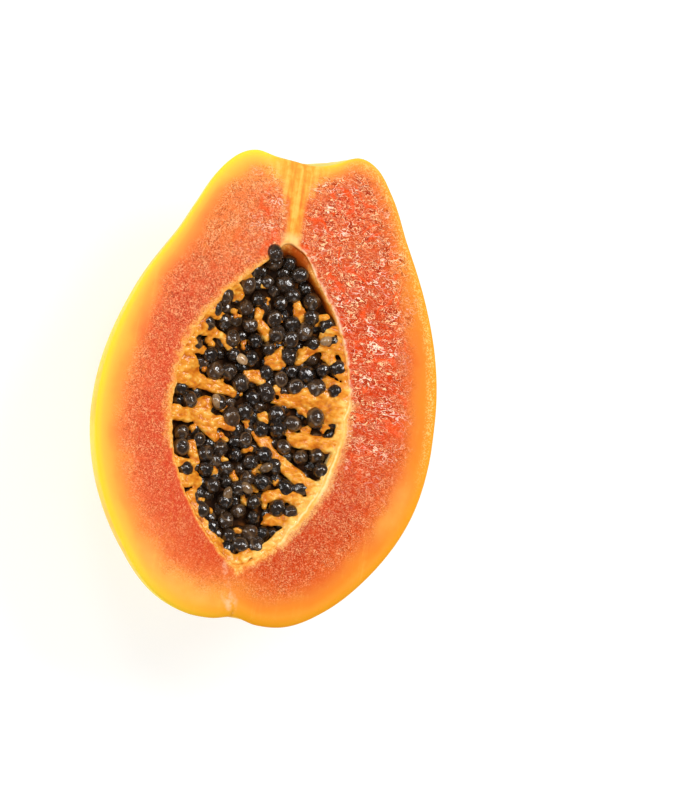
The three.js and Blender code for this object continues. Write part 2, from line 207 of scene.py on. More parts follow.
# Seed pulp on the cut face: each strand is a run of (x, y, radius).
PULP_RUNS = [
    [(-33, 18, 2.6), (-24, 17.5, 1.7), (-18, 17, 1.5), (-12, 12.5, 1.3)],
    [(-33, 11, 2.8), (-25, 11, 1.6), (-18, 9.5, 1.0)],
    [(-33, 6, 3.4), (-28, 5, 2.6), (-25, 2.5, 2.0)],
    [(-34, 1, 3.0), (-22, 0, 2.2), (-15, -0.6, 2.1), (-9, -1.6, 1.5)],
    [(-24, -8.6, 1.6), (-20, -7.6, 2.5), (-16, -6.4, 1.6)],
    [(-34, -12, 2.4), (-24, -11.6, 1.9), (-16, -12.4, 2.1), (-8, -12.4, 2.0)],
    [(-20, -12.6, 1.6), (-16, -15.4, 1.8), (-13, -18.4, 1.2)],
    [(-32, -28, 2.2), (-26, -28.2, 1.6), (-20, -28, 1.3)],
    [(-22, -20.5, 1.4), (-21, -24, 1.6), (-19, -27.4, 1.2)],
    [(-30, -34, 2.2), (-23, -34, 1.9), (-18, -33.4, 1.5), (-19, -37, 1.0)],
    [(-21, -37.6, 1.2), (-17.6, -43, 1.4), (-12, -50, 1.5), (-6.6, -55.2, 1.6), (-2, -58.4, 1.2)],
    [(-22, 34, 2.2), (-17, 33, 1.8), (-12.5, 31.6, 2.0)],
    [(-16, 40, 1.6), (-10.6, 37, 1.7)],
    [(-27, 26, 1.8), (-22, 23.4, 1.5), (-17, 23.6, 0.9)],
    [(-7, 47, 1.2), (-13, 41, 1.5), (-19, 33, 1.6), (-24, 25, 1.6), (-28, 15, 1.8), (-30, 5, 1.8)],
    [(1, 10.4, 2.4), (4, 12, 3.0), (6, 10, 1.6)],
    [(-6.4, 5, 1.5), (-3, 5.4, 2.2), (0.6, 5, 1.5)],
    [(-5, 27.4, 1.7), (-4.6, 24, 1.6), (-1.6, 20.8, 1.3)],
    [(2.4, 27.2, 0.9), (2.8, 25, 1.0)],
    [(7.4, 33, 1.0), (8.8, 29.6, 1.7), (10.4, 28.8, 1.3)],
    [(-5.2, 37.6, 0.9), (-5, 35.8, 1.1)],
    [(2, -7.4, 1.8), (3, -10.4, 1.5)],
    [(4.6, 2, 1.2), (6.4, 1.2, 1.0)],
    [(-16.4, -40, 1.2), (-15.4, -38.6, 0.9)],
    [(-6.6, -36.4, 0.9), (-6, -40, 1.0)],
    [(-6.4, -46.6, 1.0), (-5, -48, 0.8)],
    [(22.6, 27, 1.3), (26.6, 17, 1.7), (29.2, 6, 2.0), (29.4, -4, 2.0), (28.4, -14, 1.8)],
    [(-4, -57.4, 1.3), (0.5, -57, 1.8), (4, -54, 1.4)],
    [
        (29.2, -16.2, 1.8), (26.5, -25.8, 1.9), (22.3, -34, 1.9), (17, -42.3, 1.8),
        (10.7, -50.1, 1.7), (5, -55.4, 1.4),
    ],
    [(25, 26, 1.8), (20, 24.4, 1.7), (18, 21.6, 1.0)],
    [(30, 17, 2.8), (24, 19.4, 2.0), (18, 19, 1.6), (14, 16.2, 1.5), (11, 12.6, 1.7)],
    [(30, 10, 2.6), (24, 13, 1.9), (20, 16, 1.6)],
    [(31, 4, 2.8), (25, 5.4, 2.2), (21, 8.2, 1.4)],
    [(32, 0, 3.0), (24, 0, 2.9), (17, 1.2, 3.0), (12, -0.8, 2.5), (8, -1.4, 1.6)],
    [(31, -5, 2.4), (24, -4.2, 2.2), (17, -3.6, 1.8)],
    [(8, -8.6, 1.2), (11, -11, 1.4), (13, -12.4, 1.2)],
    [(31, -14, 2.6), (22, -13.6, 2.4), (16, -14, 2.2), (12.4, -14.6, 1.2)],
    [(0, -13.4, 1.4), (5, -18, 1.9), (11, -22.4, 2.0), (18, -27.4, 2.2), (24, -31, 2.4)],
    [(22, -36, 2.0), (14, -33.6, 1.9), (8, -34.6, 2.0), (6.4, -36.4, 1.2)],
    [(19, -42, 2.2), (13, -41, 2.2), (9, -43.6, 1.6)],
]
# Height of the pulp: its depth at the wall, its lift over the bed, how far from the wall it
# starts to rise, and where, outside the wall, no bed is under it.
PULP_EDGE_DEPTH = 1.2
PULP_LIFT = 1.2
PULP_WALL_REACH = 8.0
PULP_OUTSIDE = -2.0
# The fibres of a run: balls along them that wander, swell and rise over these lengths.
PULP_DRAW = 23
PULP_STEP = 0.7
PULP_FIBRES = 3
PULP_FIBRE_GAP = 0.6
PULP_FIBRE_SHARE = 0.6
PULP_WANDER = 0.45
PULP_WANDER_LENGTH = 4.0
PULP_SWELL = 0.5
PULP_SWELL_LENGTH = 2.5
PULP_RISE_LENGTH = 5.0
PULP_FLAT = 0.85
PULP_SIDES = (10, 6)
# Small bits of pulp in the gaps between the seeds.
PULP_BIT_TRIES = 700
PULP_BIT_SIZE = 1.0
PULP_BIT_CLEAR = 3.1
PULP_BIT_APART = 5.5
PULP_BIT_LUMPS = 5
PULP_BIT_REACH = 1.5
PULP_BIT_LIFT = -0.6
# Fusing the pulp, and its rough surface: (size, draw, height, tone), where tone is the share of painted
# light and shade that follows the relief.
PULP_VOXEL = 0.4
PULP_SOFTENING = 0.5
PULP_SOFT_STEPS = 3
PULP_RELIEF = [
    ((2.8, 2.0, 2.0), 0.0, 0.35, 0.45),
    ((1.6, 0.9, 1.0), 5.0, 0.22, 0.35),
    ((0.9, 0.7, 0.7), 15.0, 0.1, 0.15),
]
PULP_TONE = 0.48
PULP_PALENESS = 0.38
# How far under the cut face the pulp stays: its balls, and its rough surface.
PULP_BALL_TOP = 0.3
PULP_TOP = 0.2

# Camera: how far it leans from straight above, and the photograph's framing.
VIEW_LEAN_LEFT = 18.0
VIEW_LEAN_BLOSSOM = 5.5
VIEW_ROLL = 8.5
IMAGE_WIDTH = 700
IMAGE_HEIGHT = 800
PIXELS_PER_MM = 2.95
FRUIT_PIXEL = (266, 392)
CAMERA_DISTANCE = 1.3
SENSOR_WIDTH = 36.0

# Light: the room all round, its strength in reflections, and lamps as (name, place, size, power).
ROOM_LIGHT = 0.62
ROOM_REFLECTION = 0.08
LAMP_AIM = Vector((0, 0, 0.04))
LAMPS = [
    ("key", (0.40, 0.50, 0.95), 0.40, 4.2),
    ("near", (0.30, 0.12, 0.48), 0.12, 0.4),
    ("side", (-0.95, 0.05, 0.50), 0.50, 2.5),
    ("top", (-0.35, 0.45, 1.00), 0.30, 2.0),
    ("front", (0.10, -0.90, 0.50), 0.50, 0.6),
]
# The floor: half its size, its two greys, and its glow, which starts and is full this far out; without the
# glow near the fruit, a painted shade lies under it.
FLOOR_HALF = 4.0
FLOOR_GREYS = ((0.40, 0.40, 0.40, 1), (0.42, 0.42, 0.42, 1))
FLOOR_GLOW_REACH = (0.01, 0.055)
FLOOR_GLOW = 0.64
WHITE = (1.0, 1.0, 1.0, 1.0)


def random_numbers(draw):
    """Numbers from 0 to 1, the same on every run and in the solids."""
    full = 0xFFFFFFFF
    state = draw
    while True:
        state = (state + 0x6D2B79F5) & full
        mixed = ((state ^ (state >> 15)) * (state | 1)) & full
        mixed = ((mixed + (((mixed ^ (mixed >> 7)) * (mixed | 61)) & full)) & full) ^ mixed
        yield (mixed ^ (mixed >> 14)) / 2**32


def smooth_step(low, high, value):
    """0 before low and 1 past high, rising smoothly between; low may be the larger of the two."""
    t = np.clip((value - low) / (high - low), 0, 1)
    return t * t * (3 - 2 * t)


def between(span, value):
    """1 inside a span of (start, full, last full, end), fading smoothly to 0 outside it."""
    start, full, last_full, end = span
    return smooth_step(start, full, value) * smooth_step(end, last_full, value)


def noise_at(points, size, offset=0):
    """Smooth noise from -1 to 1 with features of the given size; size may have three parts."""
    scaled = np.asarray(points, float) / np.asarray(size, float) + offset
    values = [noise.noise(Vector(point)) for point in scaled.reshape(-1, 3)]
    return np.array(values).reshape(scaled.shape[:-1])


def cut_radius(degrees):
    """Radius of the cut outline at each angle: a smooth closed curve through the knots."""
    at, radius = np.array(CUT_OUTLINE, float).T
    wrapped_at = np.concatenate([at[-1:] - 360, at, at[:2] + 360])
    wrapped_radius = np.concatenate([radius[-1:], radius, radius[:2]])
    slope = (wrapped_radius[2:] - wrapped_radius[:-2]) / (wrapped_at[2:] - wrapped_at[:-2])
    angle = np.mod(degrees, 360)
    i = np.searchsorted(at, angle, side="right") - 1
    span = wrapped_at[i + 2] - at[i]
    t = (angle - at[i]) / span
    return (
        (2 * t**3 - 3 * t**2 + 1) * radius[i]
        + (t**3 - 2 * t**2 + t) * span * slope[i]
        + (3 * t**2 - 2 * t**3) * wrapped_radius[i + 2]
        + (t**3 - t**2) * span * slope[i + 1]
    )


def skin_points(way):
    """Points of the skin in the directions given by unit vectors."""
    from_stem = np.degrees(np.arccos(np.clip(way[..., 1], -1, 1)))
    turn = np.arctan2(way[..., 2], way[..., 0])
    right = (1 + np.cos(turn)) / 2
    smooth = right * cut_radius(90 - from_stem) + (1 - right) * cut_radius(90 + from_stem)
    belly = 1 - way[..., 1] ** 2
    radius = smooth * (1 - LOBE_RISE * belly * np.sin(FRUIT_LOBES * turn))
    behind = np.sin(turn) ** 2
    for at, width, depth in END_DIPS:
        radius = radius - depth * behind * np.exp(-(((from_stem - at) / width) ** 2))
    return way * radius[..., None] * np.array([1, 1, DEPTH_SHARE])


def cavity_half_width(y, gap=0):
    """Half width of the cavity on the cut face, y from its middle, less a gap at the wall."""
    return np.sqrt(np.maximum((ARC_RADIUS - gap) ** 2 - y * y, ARC_OFFSET**2)) - ARC_OFFSET


def cavity_depth(off):
    """Depth of the cavity at places given by their offset from its middle."""
    deep = np.sqrt(np.maximum(cavity_half_width(off[:, 1]) ** 2 - off[:, 0] ** 2, 0))
    return CAVITY_DEPTH_SHARE * deep


def cavity_edge(theta):
    """Distance from the cavity's middle to its edge in each direction."""
    c, s = np.abs(np.cos(theta)), np.sin(theta)
    on_arc = -ARC_OFFSET * c + np.sqrt(ARC_OFFSET**2 * c**2 + ARC_RADIUS**2 - ARC_OFFSET**2)
    shoulder = math.atan2(ROUND_CENTRE, ARC_OFFSET)
    shoulder_y = ROUND_CENTRE + CAVITY_STEM_ROUND * math.sin(shoulder)
    inside = np.maximum((s * s - 1) * ROUND_CENTRE**2 + CAVITY_STEM_ROUND**2, 0)
    on_round = s * ROUND_CENTRE + np.sqrt(inside)
    return np.where(on_arc * s > shoulder_y, on_round, on_arc)


def bed_height(x, y):
    """Height of the bowl that the seeds lie on."""
    across = (x - CAVITY_CENTRE[0]) / BOWL[0]
    along = (y - CAVITY_CENTRE[1]) / BOWL[1]
    return BOWL[2] - BED_MIDDLE_DEPTH - BOWL[2] * np.sqrt(1 - across * across - along * along)


def row_offset():
    """From the fruit's frame to the row's: the cut face is at the top of the CAD box."""
    theta = np.linspace(0, 2 * math.pi, OUTLINE_SAMPLES, endpoint=False)
    radius = cut_radius(np.degrees(theta))
    x, y = radius * np.cos(theta), radius * np.sin(theta)
    return np.array([-(x.min() + x.max()) / 2, -(y.min() + y.max()) / 2, cad_high.z / MM])


TO_ROW = row_offset()


def make_piece(name, points, faces, materials, values=None, face_materials=None):
    """A smooth mesh piece from points in the fruit's frame, with named values at its points."""
    mesh = bpy.data.meshes.new(name)
    placed = (np.asarray(points, float) + TO_ROW) * MM
    mesh.from_pydata(placed.tolist(), [], faces)
    mesh.update()
    for key, value in (values or {}).items():
        add_value(mesh, key, value)
    for material in materials:
        mesh.materials.append(material)
    if face_materials is not None:
        mesh.polygons.foreach_set("material_index", np.asarray(face_materials, np.int32))
    mesh.polygons.foreach_set("use_smooth", np.ones(len(mesh.polygons), bool))
    return put(name, mesh)


def put(name, data):
    """A new object in the scene."""
    made = bpy.data.objects.new(name, data)
    bpy.context.scene.collection.objects.link(made)
    return made


def add_value(mesh, name, value):
    """A named number at each point of a mesh."""
    layer = mesh.attributes.new(name, "FLOAT", "POINT")
    layer.data.foreach_set("value", np.asarray(value, np.float32))


def unit_ball(sides, rings):
    """Points and faces of a closed ball, poles along z."""
    points = [(0, 0, 1)]
    for i in range(1, rings):
        polar = math.pi * i / rings
        for j in range(sides):
            turn = 2 * math.pi * j / sides
            out = math.sin(polar)
            points.append((out * math.cos(turn), out * math.sin(turn), math.cos(polar)))
    points.append((0, 0, -1))
    last = len(points) - 1
    faces = []
    for j in range(sides):
        k = (j + 1) % sides
        faces.append((0, 1 + j, 1 + k))
        for i in range(rings - 2):
            a = 1 + i * sides
            b = a + sides
            faces.append((a + j, b + j, b + k, a + k))
        a = 1 + (rings - 2) * sides
        faces.append((last, a + k, a + j))
    return np.array(points), faces


def balls(shapes, sides, rings):
    """Many balls in one mesh: each shape is a 3x3 matrix and a middle."""
    unit, faces = unit_ball(sides, rings)
    points, all_faces = [], []
    for matrix, middle in shapes:
        start = len(points) * len(unit)
        points.append(unit @ np.asarray(matrix).T + middle)
        all_faces += [tuple(start + i for i in face) for face in faces]
    return np.concatenate(points), all_faces, unit


def shell_faces(count, rings):
    """Faces of a closed shell: quads between its rings, then fans to a first and a last tip.

    The points are the rings in order, count points in each, then the two tips."""
    faces = []
    for i in range(rings - 1):
        a, b = i * count, (i + 1) * count
        for j in range(count):
            k = (j + 1) % count
            faces.append((a + j, a + k, b + k, b + j))
    tip = rings * count
    start = tip - count
    faces += [(tip, (j + 1) % count, j) for j in range(count)]
    faces += [(tip + 1, start + j, start + (j + 1) % count) for j in range(count)]
    return faces


# Materials

def paint(red, green, blue):
    """A display colour, 0 to 255, as the linear colour that shaders take."""
    def linear(value):
        value /= 255
        return value / 12.92 if value <= 0.04045 else ((value + 0.055) / 1.055) ** 2.4
    return (linear(red), linear(green), linear(blue), 1)


class Value:
    """What a node gives at each point of a surface. Sums of values make further nodes."""

    def __init__(self, nodes, socket):
        self.nodes = nodes
        self.socket = socket

    def __add__(self, other):
        return self.nodes.math("ADD", self, other)

    def __sub__(self, other):
        return self.nodes.math("SUBTRACT", self, other)

    def __rsub__(self, other):
        return self.nodes.math("SUBTRACT", other, self)

    def __mul__(self, other):
        return self.nodes.math("MULTIPLY", self, other)

    def __truediv__(self, other):
        return self.nodes.math("DIVIDE", self, other)


class Nodes:
    """Short calls for building a material's node tree."""

    def __init__(self, name):
        self.material = bpy.data.materials.new(name)
        self.material.use_nodes = True
        self.tree = self.material.node_tree
        self.colour = None
        self.place = self.add("ShaderNodeTexCoord", "Object", {})

    def plug(self, socket, value):
        if isinstance(value, Value):
            self.tree.links.new(value.socket, socket)
        else:
            socket.default_value = value

    def add(self, kind, output, inputs, **settings):
        """One output of a new node with these inputs and settings."""
        node = self.tree.nodes.new(kind)
        for key, value in settings.items():
            setattr(node, key, value)
        for key, value in inputs.items():
            self.plug(node.inputs[key], value)
        return Value(self, node.outputs[output])

    def set(self, **inputs):
        """Inputs of the material's shader, with _ for each space in a name."""
        for key, value in inputs.items():
            self.plug(self.tree.nodes["Principled BSDF"].inputs[key.replace("_", " ")], value)

    def value(self, name):
        """A named value of the mesh."""
        return self.add("ShaderNodeAttribute", "Fac", {}, attribute_name=name)

    def stretch(self, scale):
        return self.add("ShaderNodeMapping", "Vector", {"Vector": self.place, "Scale": scale})

    def length(self, vector):
        return self.add("ShaderNodeVectorMath", "Value", {0: vector}, operation="LENGTH")

    def from_axis(self):
        """Distance from the fruit's axis, in millimetres."""
        return self.length(self.add("ShaderNodeMapping", "Vector", {
            "Vector": self.place,
            "Scale": (1 / MM, 0, 1 / MM),
            "Location": (-TO_ROW[0], 0, -TO_ROW[2]),
        }))

    def noise(self, scale, detail=3, rough=0.5, vector=None, distort=0):
        return self.add("ShaderNodeTexNoise", "Fac", {
            "Vector": vector or self.place, "Scale": scale, "Detail": detail,
            "Roughness": rough, "Distortion": distort,
        })

    def apart(self, value, level):
        """How far a value is from a level, above or below."""
        return self.math("ABSOLUTE", value - level)

    def ridges(self, scale, detail, distort):
        """Height above a network of sharp creases: 0 in the creases, about 0.1 between them."""
        return self.apart(self.noise(scale, detail, 0.5, None, distort), 0.5)

    def cells(self, scale):
        """Distance from the nearest of many scattered points."""
        inputs = {"Vector": self.place, "Scale": scale, "Smoothness": 0}
        return self.add("ShaderNodeTexVoronoi", "Distance", inputs, feature="SMOOTH_F1")

    def math(self, operation, a, b=0, clamp=False):
        return self.add("ShaderNodeMath", 0, {0: a, 1: b}, operation=operation, use_clamp=clamp)

    def less(self, a, b):
        """a - b, held between 0 and 1."""
        return self.math("SUBTRACT", a, b, True)

    def span(self, value, low, high, to_low=0, to_high=1):
        """A smooth rise from to_low to to_high as the value goes from low to high."""
        return self.add("ShaderNodeMapRange", "Result", {
            "Value": value, "From Min": low, "From Max": high, "To Min": to_low, "To Max": to_high,
        }, interpolation_type="SMOOTHSTEP")

    def ramp(self, value, stops, low=0, high=1):
        """Colour along a value from low to high: stops are (value, red, green, blue)."""
        inputs = {"Value": value, "From Min": low, "From Max": high}
        share = self.add("ShaderNodeMapRange", "Result", inputs)
        colour = self.add("ShaderNodeValToRGB", "Color", {"Fac": share})
        elements = colour.socket.node.color_ramp.elements
        for i, (at, *display) in enumerate(stops):
            element = elements[i] if i < 2 else elements.new(1)
            element.position = (at - low) / (high - low)
            element.color = paint(*display)
        return colour

    def mix(self, share, a, b):
        """Colour a, with a share of colour b."""
        return self.add("ShaderNodeMix", 2, {"Factor": share, 6: a, 7: b}, data_type="RGBA")

    def lay(self, share, *display):
        """A share of a display colour over what is painted so far."""
        self.colour = self.mix(share, self.colour, paint(*display))

    def bump(self, height, distance, strength, under=None):
        inputs = {"Height": height, "Distance": distance, "Strength": strength}
        if under:
            inputs["Normal"] = under
        return self.add("ShaderNodeBump", "Normal", inputs)


def flesh_material():
    """Wet cut flesh: ripe colours, the cavity's lining, strand and seam, and a fine wet texture."""
    n = Nodes("cut_flesh")
    ripe_colours(n)
    lining_colours(n)
    pale_colours(n)
    band_colours(n)
    strand_colours(n)
    # Painted shade in the hollow under the strand.
    hollow_shade = n.value("hollow_shade") * n.span(n.noise(400), 0.2, 0.5, 0.6, 1)
    n.lay(hollow_shade, 164, 68, 12)
    seam_colours(n)
    normal = wet_grain(n)
    n.set(Base_Color=n.colour, Roughness=n.span(n.noise(240), 0.3, 0.7, 0.45, 0.6))
    n.set(Normal=normal, Coat_Normal=normal, Coat_Weight=n.value("grain") * 0.05)
    n.set(Subsurface_Weight=0.1, Subsurface_Radius=(1, 0.35, 0.12), Subsurface_Scale=0.001)
    n.set(Coat_Roughness=0.06, Coat_IOR=1.7, Specular_IOR_Level=0.04)
    return n.material


def ripe_colours(n):
    """Flesh from yellow under the skin to red: one ramp for the left, one for the right, in mm."""
    from_skin = n.value("from_skin")
    wobble = (n.noise(70, 3, 0.55) - 0.5) * 9
    depth = n.value("ripeness") + wobble * n.span(from_skin, 1, 8)
    left = n.ramp(depth, [
        (0, 255, 222, 54), (2, 252, 188, 70), (5, 250, 156, 66), (8, 244, 133, 64),
        (11, 232, 107, 56), (15, 219, 83, 46), (22, 214, 74, 42),
    ], 0, 24)
    right = n.ramp(depth, [
        (0, 240, 161, 20), (3, 238, 150, 46), (5, 235, 134, 40), (8, 230, 126, 46),
        (11, 224, 103, 38), (15, 212, 73, 21), (22, 200, 57, 16),
    ], 0, 24)
    n.colour = n.mix(n.value("right"), left, right)
    stem_end = n.value("stem_end") * n.span(from_skin, 3, 9, 0, 0.6)
    stem_end = stem_end * n.span(n.value("wet"), 0, 1, 1, 0.3)
    n.lay(stem_end, 246, 142, 62)


def lining_colours(n):
    """The cavity's fibrous lining, with painted shade darkening it down the wall, and a painted glint along
    its sharp edge.
    """
    fringe = n.value("fringe") + (n.noise(330, 4, 0.65) - 0.5) * 7
    # Down the wall the lining darkens to deep brown-orange: painted shade deeper in the cavity.
    lining = n.ramp(fringe, [
        (-14, 130, 50, 6), (-7, 206, 100, 16), (-2, 240, 150, 40),
        (0.5, 246, 170, 74), (3, 240, 132, 58),
    ], -14, 4)
    fibrous = n.ridges(800, 3, 0.6)
    lining = n.mix(n.span(fibrous, 0.04, 0, 0, 0.5), lining, paint(190, 96, 20))
    pale_fibres = n.span(fibrous, 0.07, 0.14, 0, 0.5) * n.span(fringe, -5, 0)
    lining = n.mix(pale_fibres, lining, paint(255, 214, 132))
    n.colour = n.mix(n.span(fringe, 4.4, 1.2), n.colour, lining)
    # A painted glint: a pale line along the sharp edge of the cavity.
    edge_glint = n.value("edge_glint") * n.span(n.noise(500), 0.35, 0.6)
    n.lay(edge_glint * 0.8, 255, 228, 190)


def pale_colours(n):
    """Paler flesh in places near the rim, and beside the lining at the lower right."""
    peach = n.value("peach") * n.span(n.noise(120), 0.3, 0.6, 0.3, 0.6)
    n.lay(peach, 250, 180, 86)
    speckled = n.value("pale_edge") + (n.noise(650, 3, 0.6) - 0.5) * 1.6
    n.lay(n.span(speckled, 0.3, 0.9, 0, 0.75), 250, 188, 108)


def band_colours(n):
    """The pale fibrous slope along the lower right of the cavity."""
    lines = n.value("band_line") + (n.noise(700) - 0.5) * 1.2
    pale = n.ramp(lines, [(-0.6, 242, 162, 66), (-0.1, 248, 188, 96), (0.4, 253, 217, 150)], -0.7, 0.7)
    edge = n.value("band") + (n.noise(420, 4, 0.65) - 0.5) * 1.3
    n.colour = n.mix(n.span(edge, 0.2, 0.85), n.colour, pale)


def strand_colours(n):
    """The strand of fibres under the stem, with its two darker slits and its pale foot."""
    fibres = n.noise(460, 4, 0.65, n.stretch((1, 0.05, 1))) * 0.7 + n.noise(480, 3, 0.6) * 0.3
    orange = n.ramp(fibres, [(0.38, 236, 134, 46), (0.47, 245, 162, 58), (0.58, 252, 192, 88)])
    edge = n.value("strand") + (fibres - 0.5) * 1.6
    n.colour = n.mix(n.span(edge, 0, 1, 0, 0.95), n.colour, orange)
    slit = n.value("slit") * n.span(n.noise(300), 0.25, 0.45)
    n.lay(slit * 0.8, 222, 84, 26)
    cream = n.value("cream") * n.span(n.noise(300, 4, 0.6), 0.3, 0.5)
    n.lay(cream * 0.75, 254, 206, 132)


def seam_colours(n):
    """The pale seam above the blossom notch, and the dark crack in the notch."""
    ragged = n.value("seam") * n.span(n.noise(260, 4, 0.6), 0.4, 0.62)
    n.lay(ragged * 0.75, 253, 200, 156)
    n.lay(n.value("crack") * 0.35, 180, 104, 24)


def wet_grain(n):
    """Fine texture of the flesh: red streaks, and specks and folds drawn with painted glints and painted
    shade, with their bumps.
    """
    grain, wet = n.value("grain"), n.value("wet")
    wrinkled = n.value("wrinkled")
    red = wrinkled * n.span(n.noise(75, 3, 0.6), 0.60, 0.40, 0.3, 0.95)
    red = red * n.span(n.value("from_skin"), 9, 18)
    n.lay(red, 218, 58, 4)
    streak = n.span(n.ridges(90, 1.5, 0.8), 0.055, 0.015) * n.span(n.noise(150, 3, 0.6), 0.56, 0.46)
    streak = streak * (grain * n.span(wet, 0, 1, 0.15, 0.9))
    n.lay(streak, 236, 74, 12)
    plain = 1 - streak * 0.8
    wrinkled = wrinkled * plain
    dry = n.less(plain, wrinkled * 0.5)
    grainy = grain * n.span(n.noise(260, 3, 0.6), 0.35, 0.6, 0.4, 1.1) * dry
    net = grain * n.span(n.value("right"), 0, 1, 0.75, 1) * n.less(dry, wrinkled)
    speck = n.ridges(1150, 2, 0.5)
    long_folds = n.noise(680, 1, 0.5, n.stretch((0.6, 1, 1)), 1)
    speck_colours(n, speck, grainy, wrinkled, net)
    fold_colours(n, long_folds, wrinkled, net)
    fleck_colours(n, speck)
    normal = n.bump(long_folds, 0.0006, wrinkled)
    return n.bump(speck, 0.0004, n.span(grainy, 0, 1, 0.1, 0.6), normal)


def speck_colours(n, speck, grainy, wrinkled, net):
    """Painted shade in dark creases between pale specks; the specks are partly paler cells and partly
    painted glints, and fainter where folds show.
    """
    # Painted shade in the creases between specks.
    n.lay(grainy * n.span(speck, 0.04, 0.005, 0, 0.95), 150, 34, 16)
    low = wrinkled * n.span(n.value("stem_end"), 0, 1, 0.8, 0.1)
    pale = grainy * (1 - low) * (1 - net * 0.6)
    pale_glint_colour = n.mix(n.value("wet"), paint(255, 188, 128), paint(255, 170, 98))
    # Pale specks: partly paler cells, partly painted glints.
    n.colour = n.mix(pale * n.span(speck, 0.07, 0.14, 0, 0.85), n.colour, pale_glint_colour)


def fold_colours(n, long_folds, wrinkled, net):
    """Wet wrinkles, short and long, and a fine net of folds elsewhere, painted as glints and shade, with
    brighter painted glints on some long ones.
    """
    short_folds = n.noise(1100, 1, 0.5, n.stretch((0.8, 1, 1)), 0.8)
    fine_folds = n.noise(1250, 1, 0.5, None, 1)
    fold_lines(n, short_folds, wrinkled, 0.75, 255, 212, 158)
    fold_lines(n, long_folds, wrinkled, 1, 255, 212, 158)
    fold_lines(n, fine_folds, net, 1, 255, 204, 140)
    # Brighter painted glints on some of the long folds.
    shine = wrinkled * n.span(n.noise(140, 2, 0.6), 0.50, 0.66, 0, 0.75)
    shine = shine * n.span(n.apart(long_folds, 0.56), 0.042, 0.015)
    n.lay(shine, 255, 238, 220)


def fold_lines(n, height, share, strength, *glint_colour):
    """Thin lines along folds: painted shade in the crease, and a painted glint along the crest beside it.
    """
    share = share * n.span(n.noise(230, 2, 0.6), 0.38, 0.60, 0.3, 1)
    crease_shade = share * n.span(n.apart(height, 0.465), 0.05, 0.012, 0, strength)
    lit_crest = share * n.span(n.apart(height, 0.54), 0.034, 0.01, 0, strength)
    n.lay(crease_shade, 160, 36, 4)
    n.lay(lit_crest, *glint_colour)


def fleck_colours(n, speck):
    """Dark flecks and pale flecks just under the skin; the pale ones are painted glints."""
    fleck = n.value("fleck")
    n.lay(fleck * n.span(speck, 0.04, 0, 0, 0.5), 210, 124, 36)
    # Pale flecks: painted glints.
    n.lay(fleck * n.span(speck, 0.07, 0.13, 0, 0.5), 255, 222, 136)


def skin_material():
    """Ripe skin: yellow with an orange blush, faint green towards the stem, freckles and scars."""
    n = Nodes("ripe_skin")
    stem_share = n.value("stem_share")
    tone = n.noise(28, 3, 0.6) * 0.7 + n.noise(120, 3, 0.6, n.stretch((1, 0.14, 1))) * 0.3
    n.colour = n.ramp(tone, [(0.3, 255, 238, 60), (0.5, 255, 222, 44), (0.7, 252, 190, 40)])
    blush = n.value("right") * n.span(n.noise(35, 4, 0.6), 0.35, 0.7)
    n.lay(blush * 0.6, 246, 156, 36)
    green = stem_share * n.span(n.noise(60), 0.35, 0.7)
    n.lay(green * 0.5, 186, 196, 52)
    sparse = n.span(n.noise(45, 2), 0.42, 0.6)
    freckles = n.span(n.cells(260), 0.12, 0.05) * sparse
    n.lay(freckles * 0.55, 150, 96, 30)
    spots = n.span(n.cells(62), 0.09, 0.04) * sparse
    n.lay(spots * 0.6, 136, 88, 34)
    off_axis = n.from_axis() + (n.noise(260) - 0.5) * 4
    scar = n.span(off_axis / n.span(stem_share, 0.2, 0.8, *SCAR_RADII), 1.25, 0.75)
    scar_colour = n.mix(n.noise(500, 4), paint(150, 112, 52), paint(200, 166, 88))
    n.colour = n.mix(scar * 0.75, n.colour, scar_colour)
    normal = n.bump(n.noise(900, 2), 0.0004, 0.35)
    normal = n.bump(n.noise(70, 2), 0.003, 0.25, normal)
    n.set(Base_Color=n.colour, Roughness=n.span(n.noise(300, 2), 0.3, 0.7, 0.34, 0.46), Normal=normal)
    n.set(Subsurface_Weight=0.12, Subsurface_Radius=(1, 0.5, 0.12), Subsurface_Scale=0.003)
    n.set(Coat_Weight=0.04, Coat_Roughness=0.25, Specular_IOR_Level=0.15)
    return n.material


def seed_material():
    """Dark seeds in a wet gel coat, with a paler ring on some of them: partly the edge of the gel, partly a
    painted reflection.
    """
    n = Nodes("dark_seed")
    tone = n.value("tone")
    n.colour = n.ramp(tone, [(0, 20, 13, 8), (0.6, 41, 27, 15), (1, 64, 42, 23)])
    mottle = n.span(n.noise(700, 4, 0.65), 0.48, 0.68)
    n.lay(mottle * 0.6, 82, 57, 35)
    # The paler ring: partly the gel's edge, partly a painted reflection.
    ring = n.value("ring") * n.span(tone, 0.3, 0.7)
    n.lay(ring * 0.5, 128, 98, 66)
    normal = n.bump(n.noise(620, 2), 0.0012, 0.35)
    n.set(Base_Color=n.colour, Roughness=0.3, Normal=normal, Coat_Normal=normal)
    n.set(Coat_Weight=1, Coat_Roughness=0.14, Coat_IOR=1.9, Specular_IOR_Level=0.1)
    return n.material


def pale_seed_material():
    """Unripe seeds, from brown to tan."""
    n = Nodes("pale_seed")
    brown = n.ramp(n.noise(700), [(0.3, 74, 50, 26), (0.5, 104, 76, 42), (0.7, 132, 100, 60)])
    tan = n.ramp(n.noise(700), [(0.3, 148, 106, 66), (0.5, 182, 142, 96), (0.7, 204, 170, 124)])
    normal = n.bump(n.noise(900, 2), 0.0006, 0.4)
    n.set(Base_Color=n.mix(n.value("paleness"), brown, tan), Roughness=0.35, Normal=normal)
    n.set(Coat_Weight=0.9, Coat_Roughness=0.1, Coat_IOR=1.8)
    return n.material


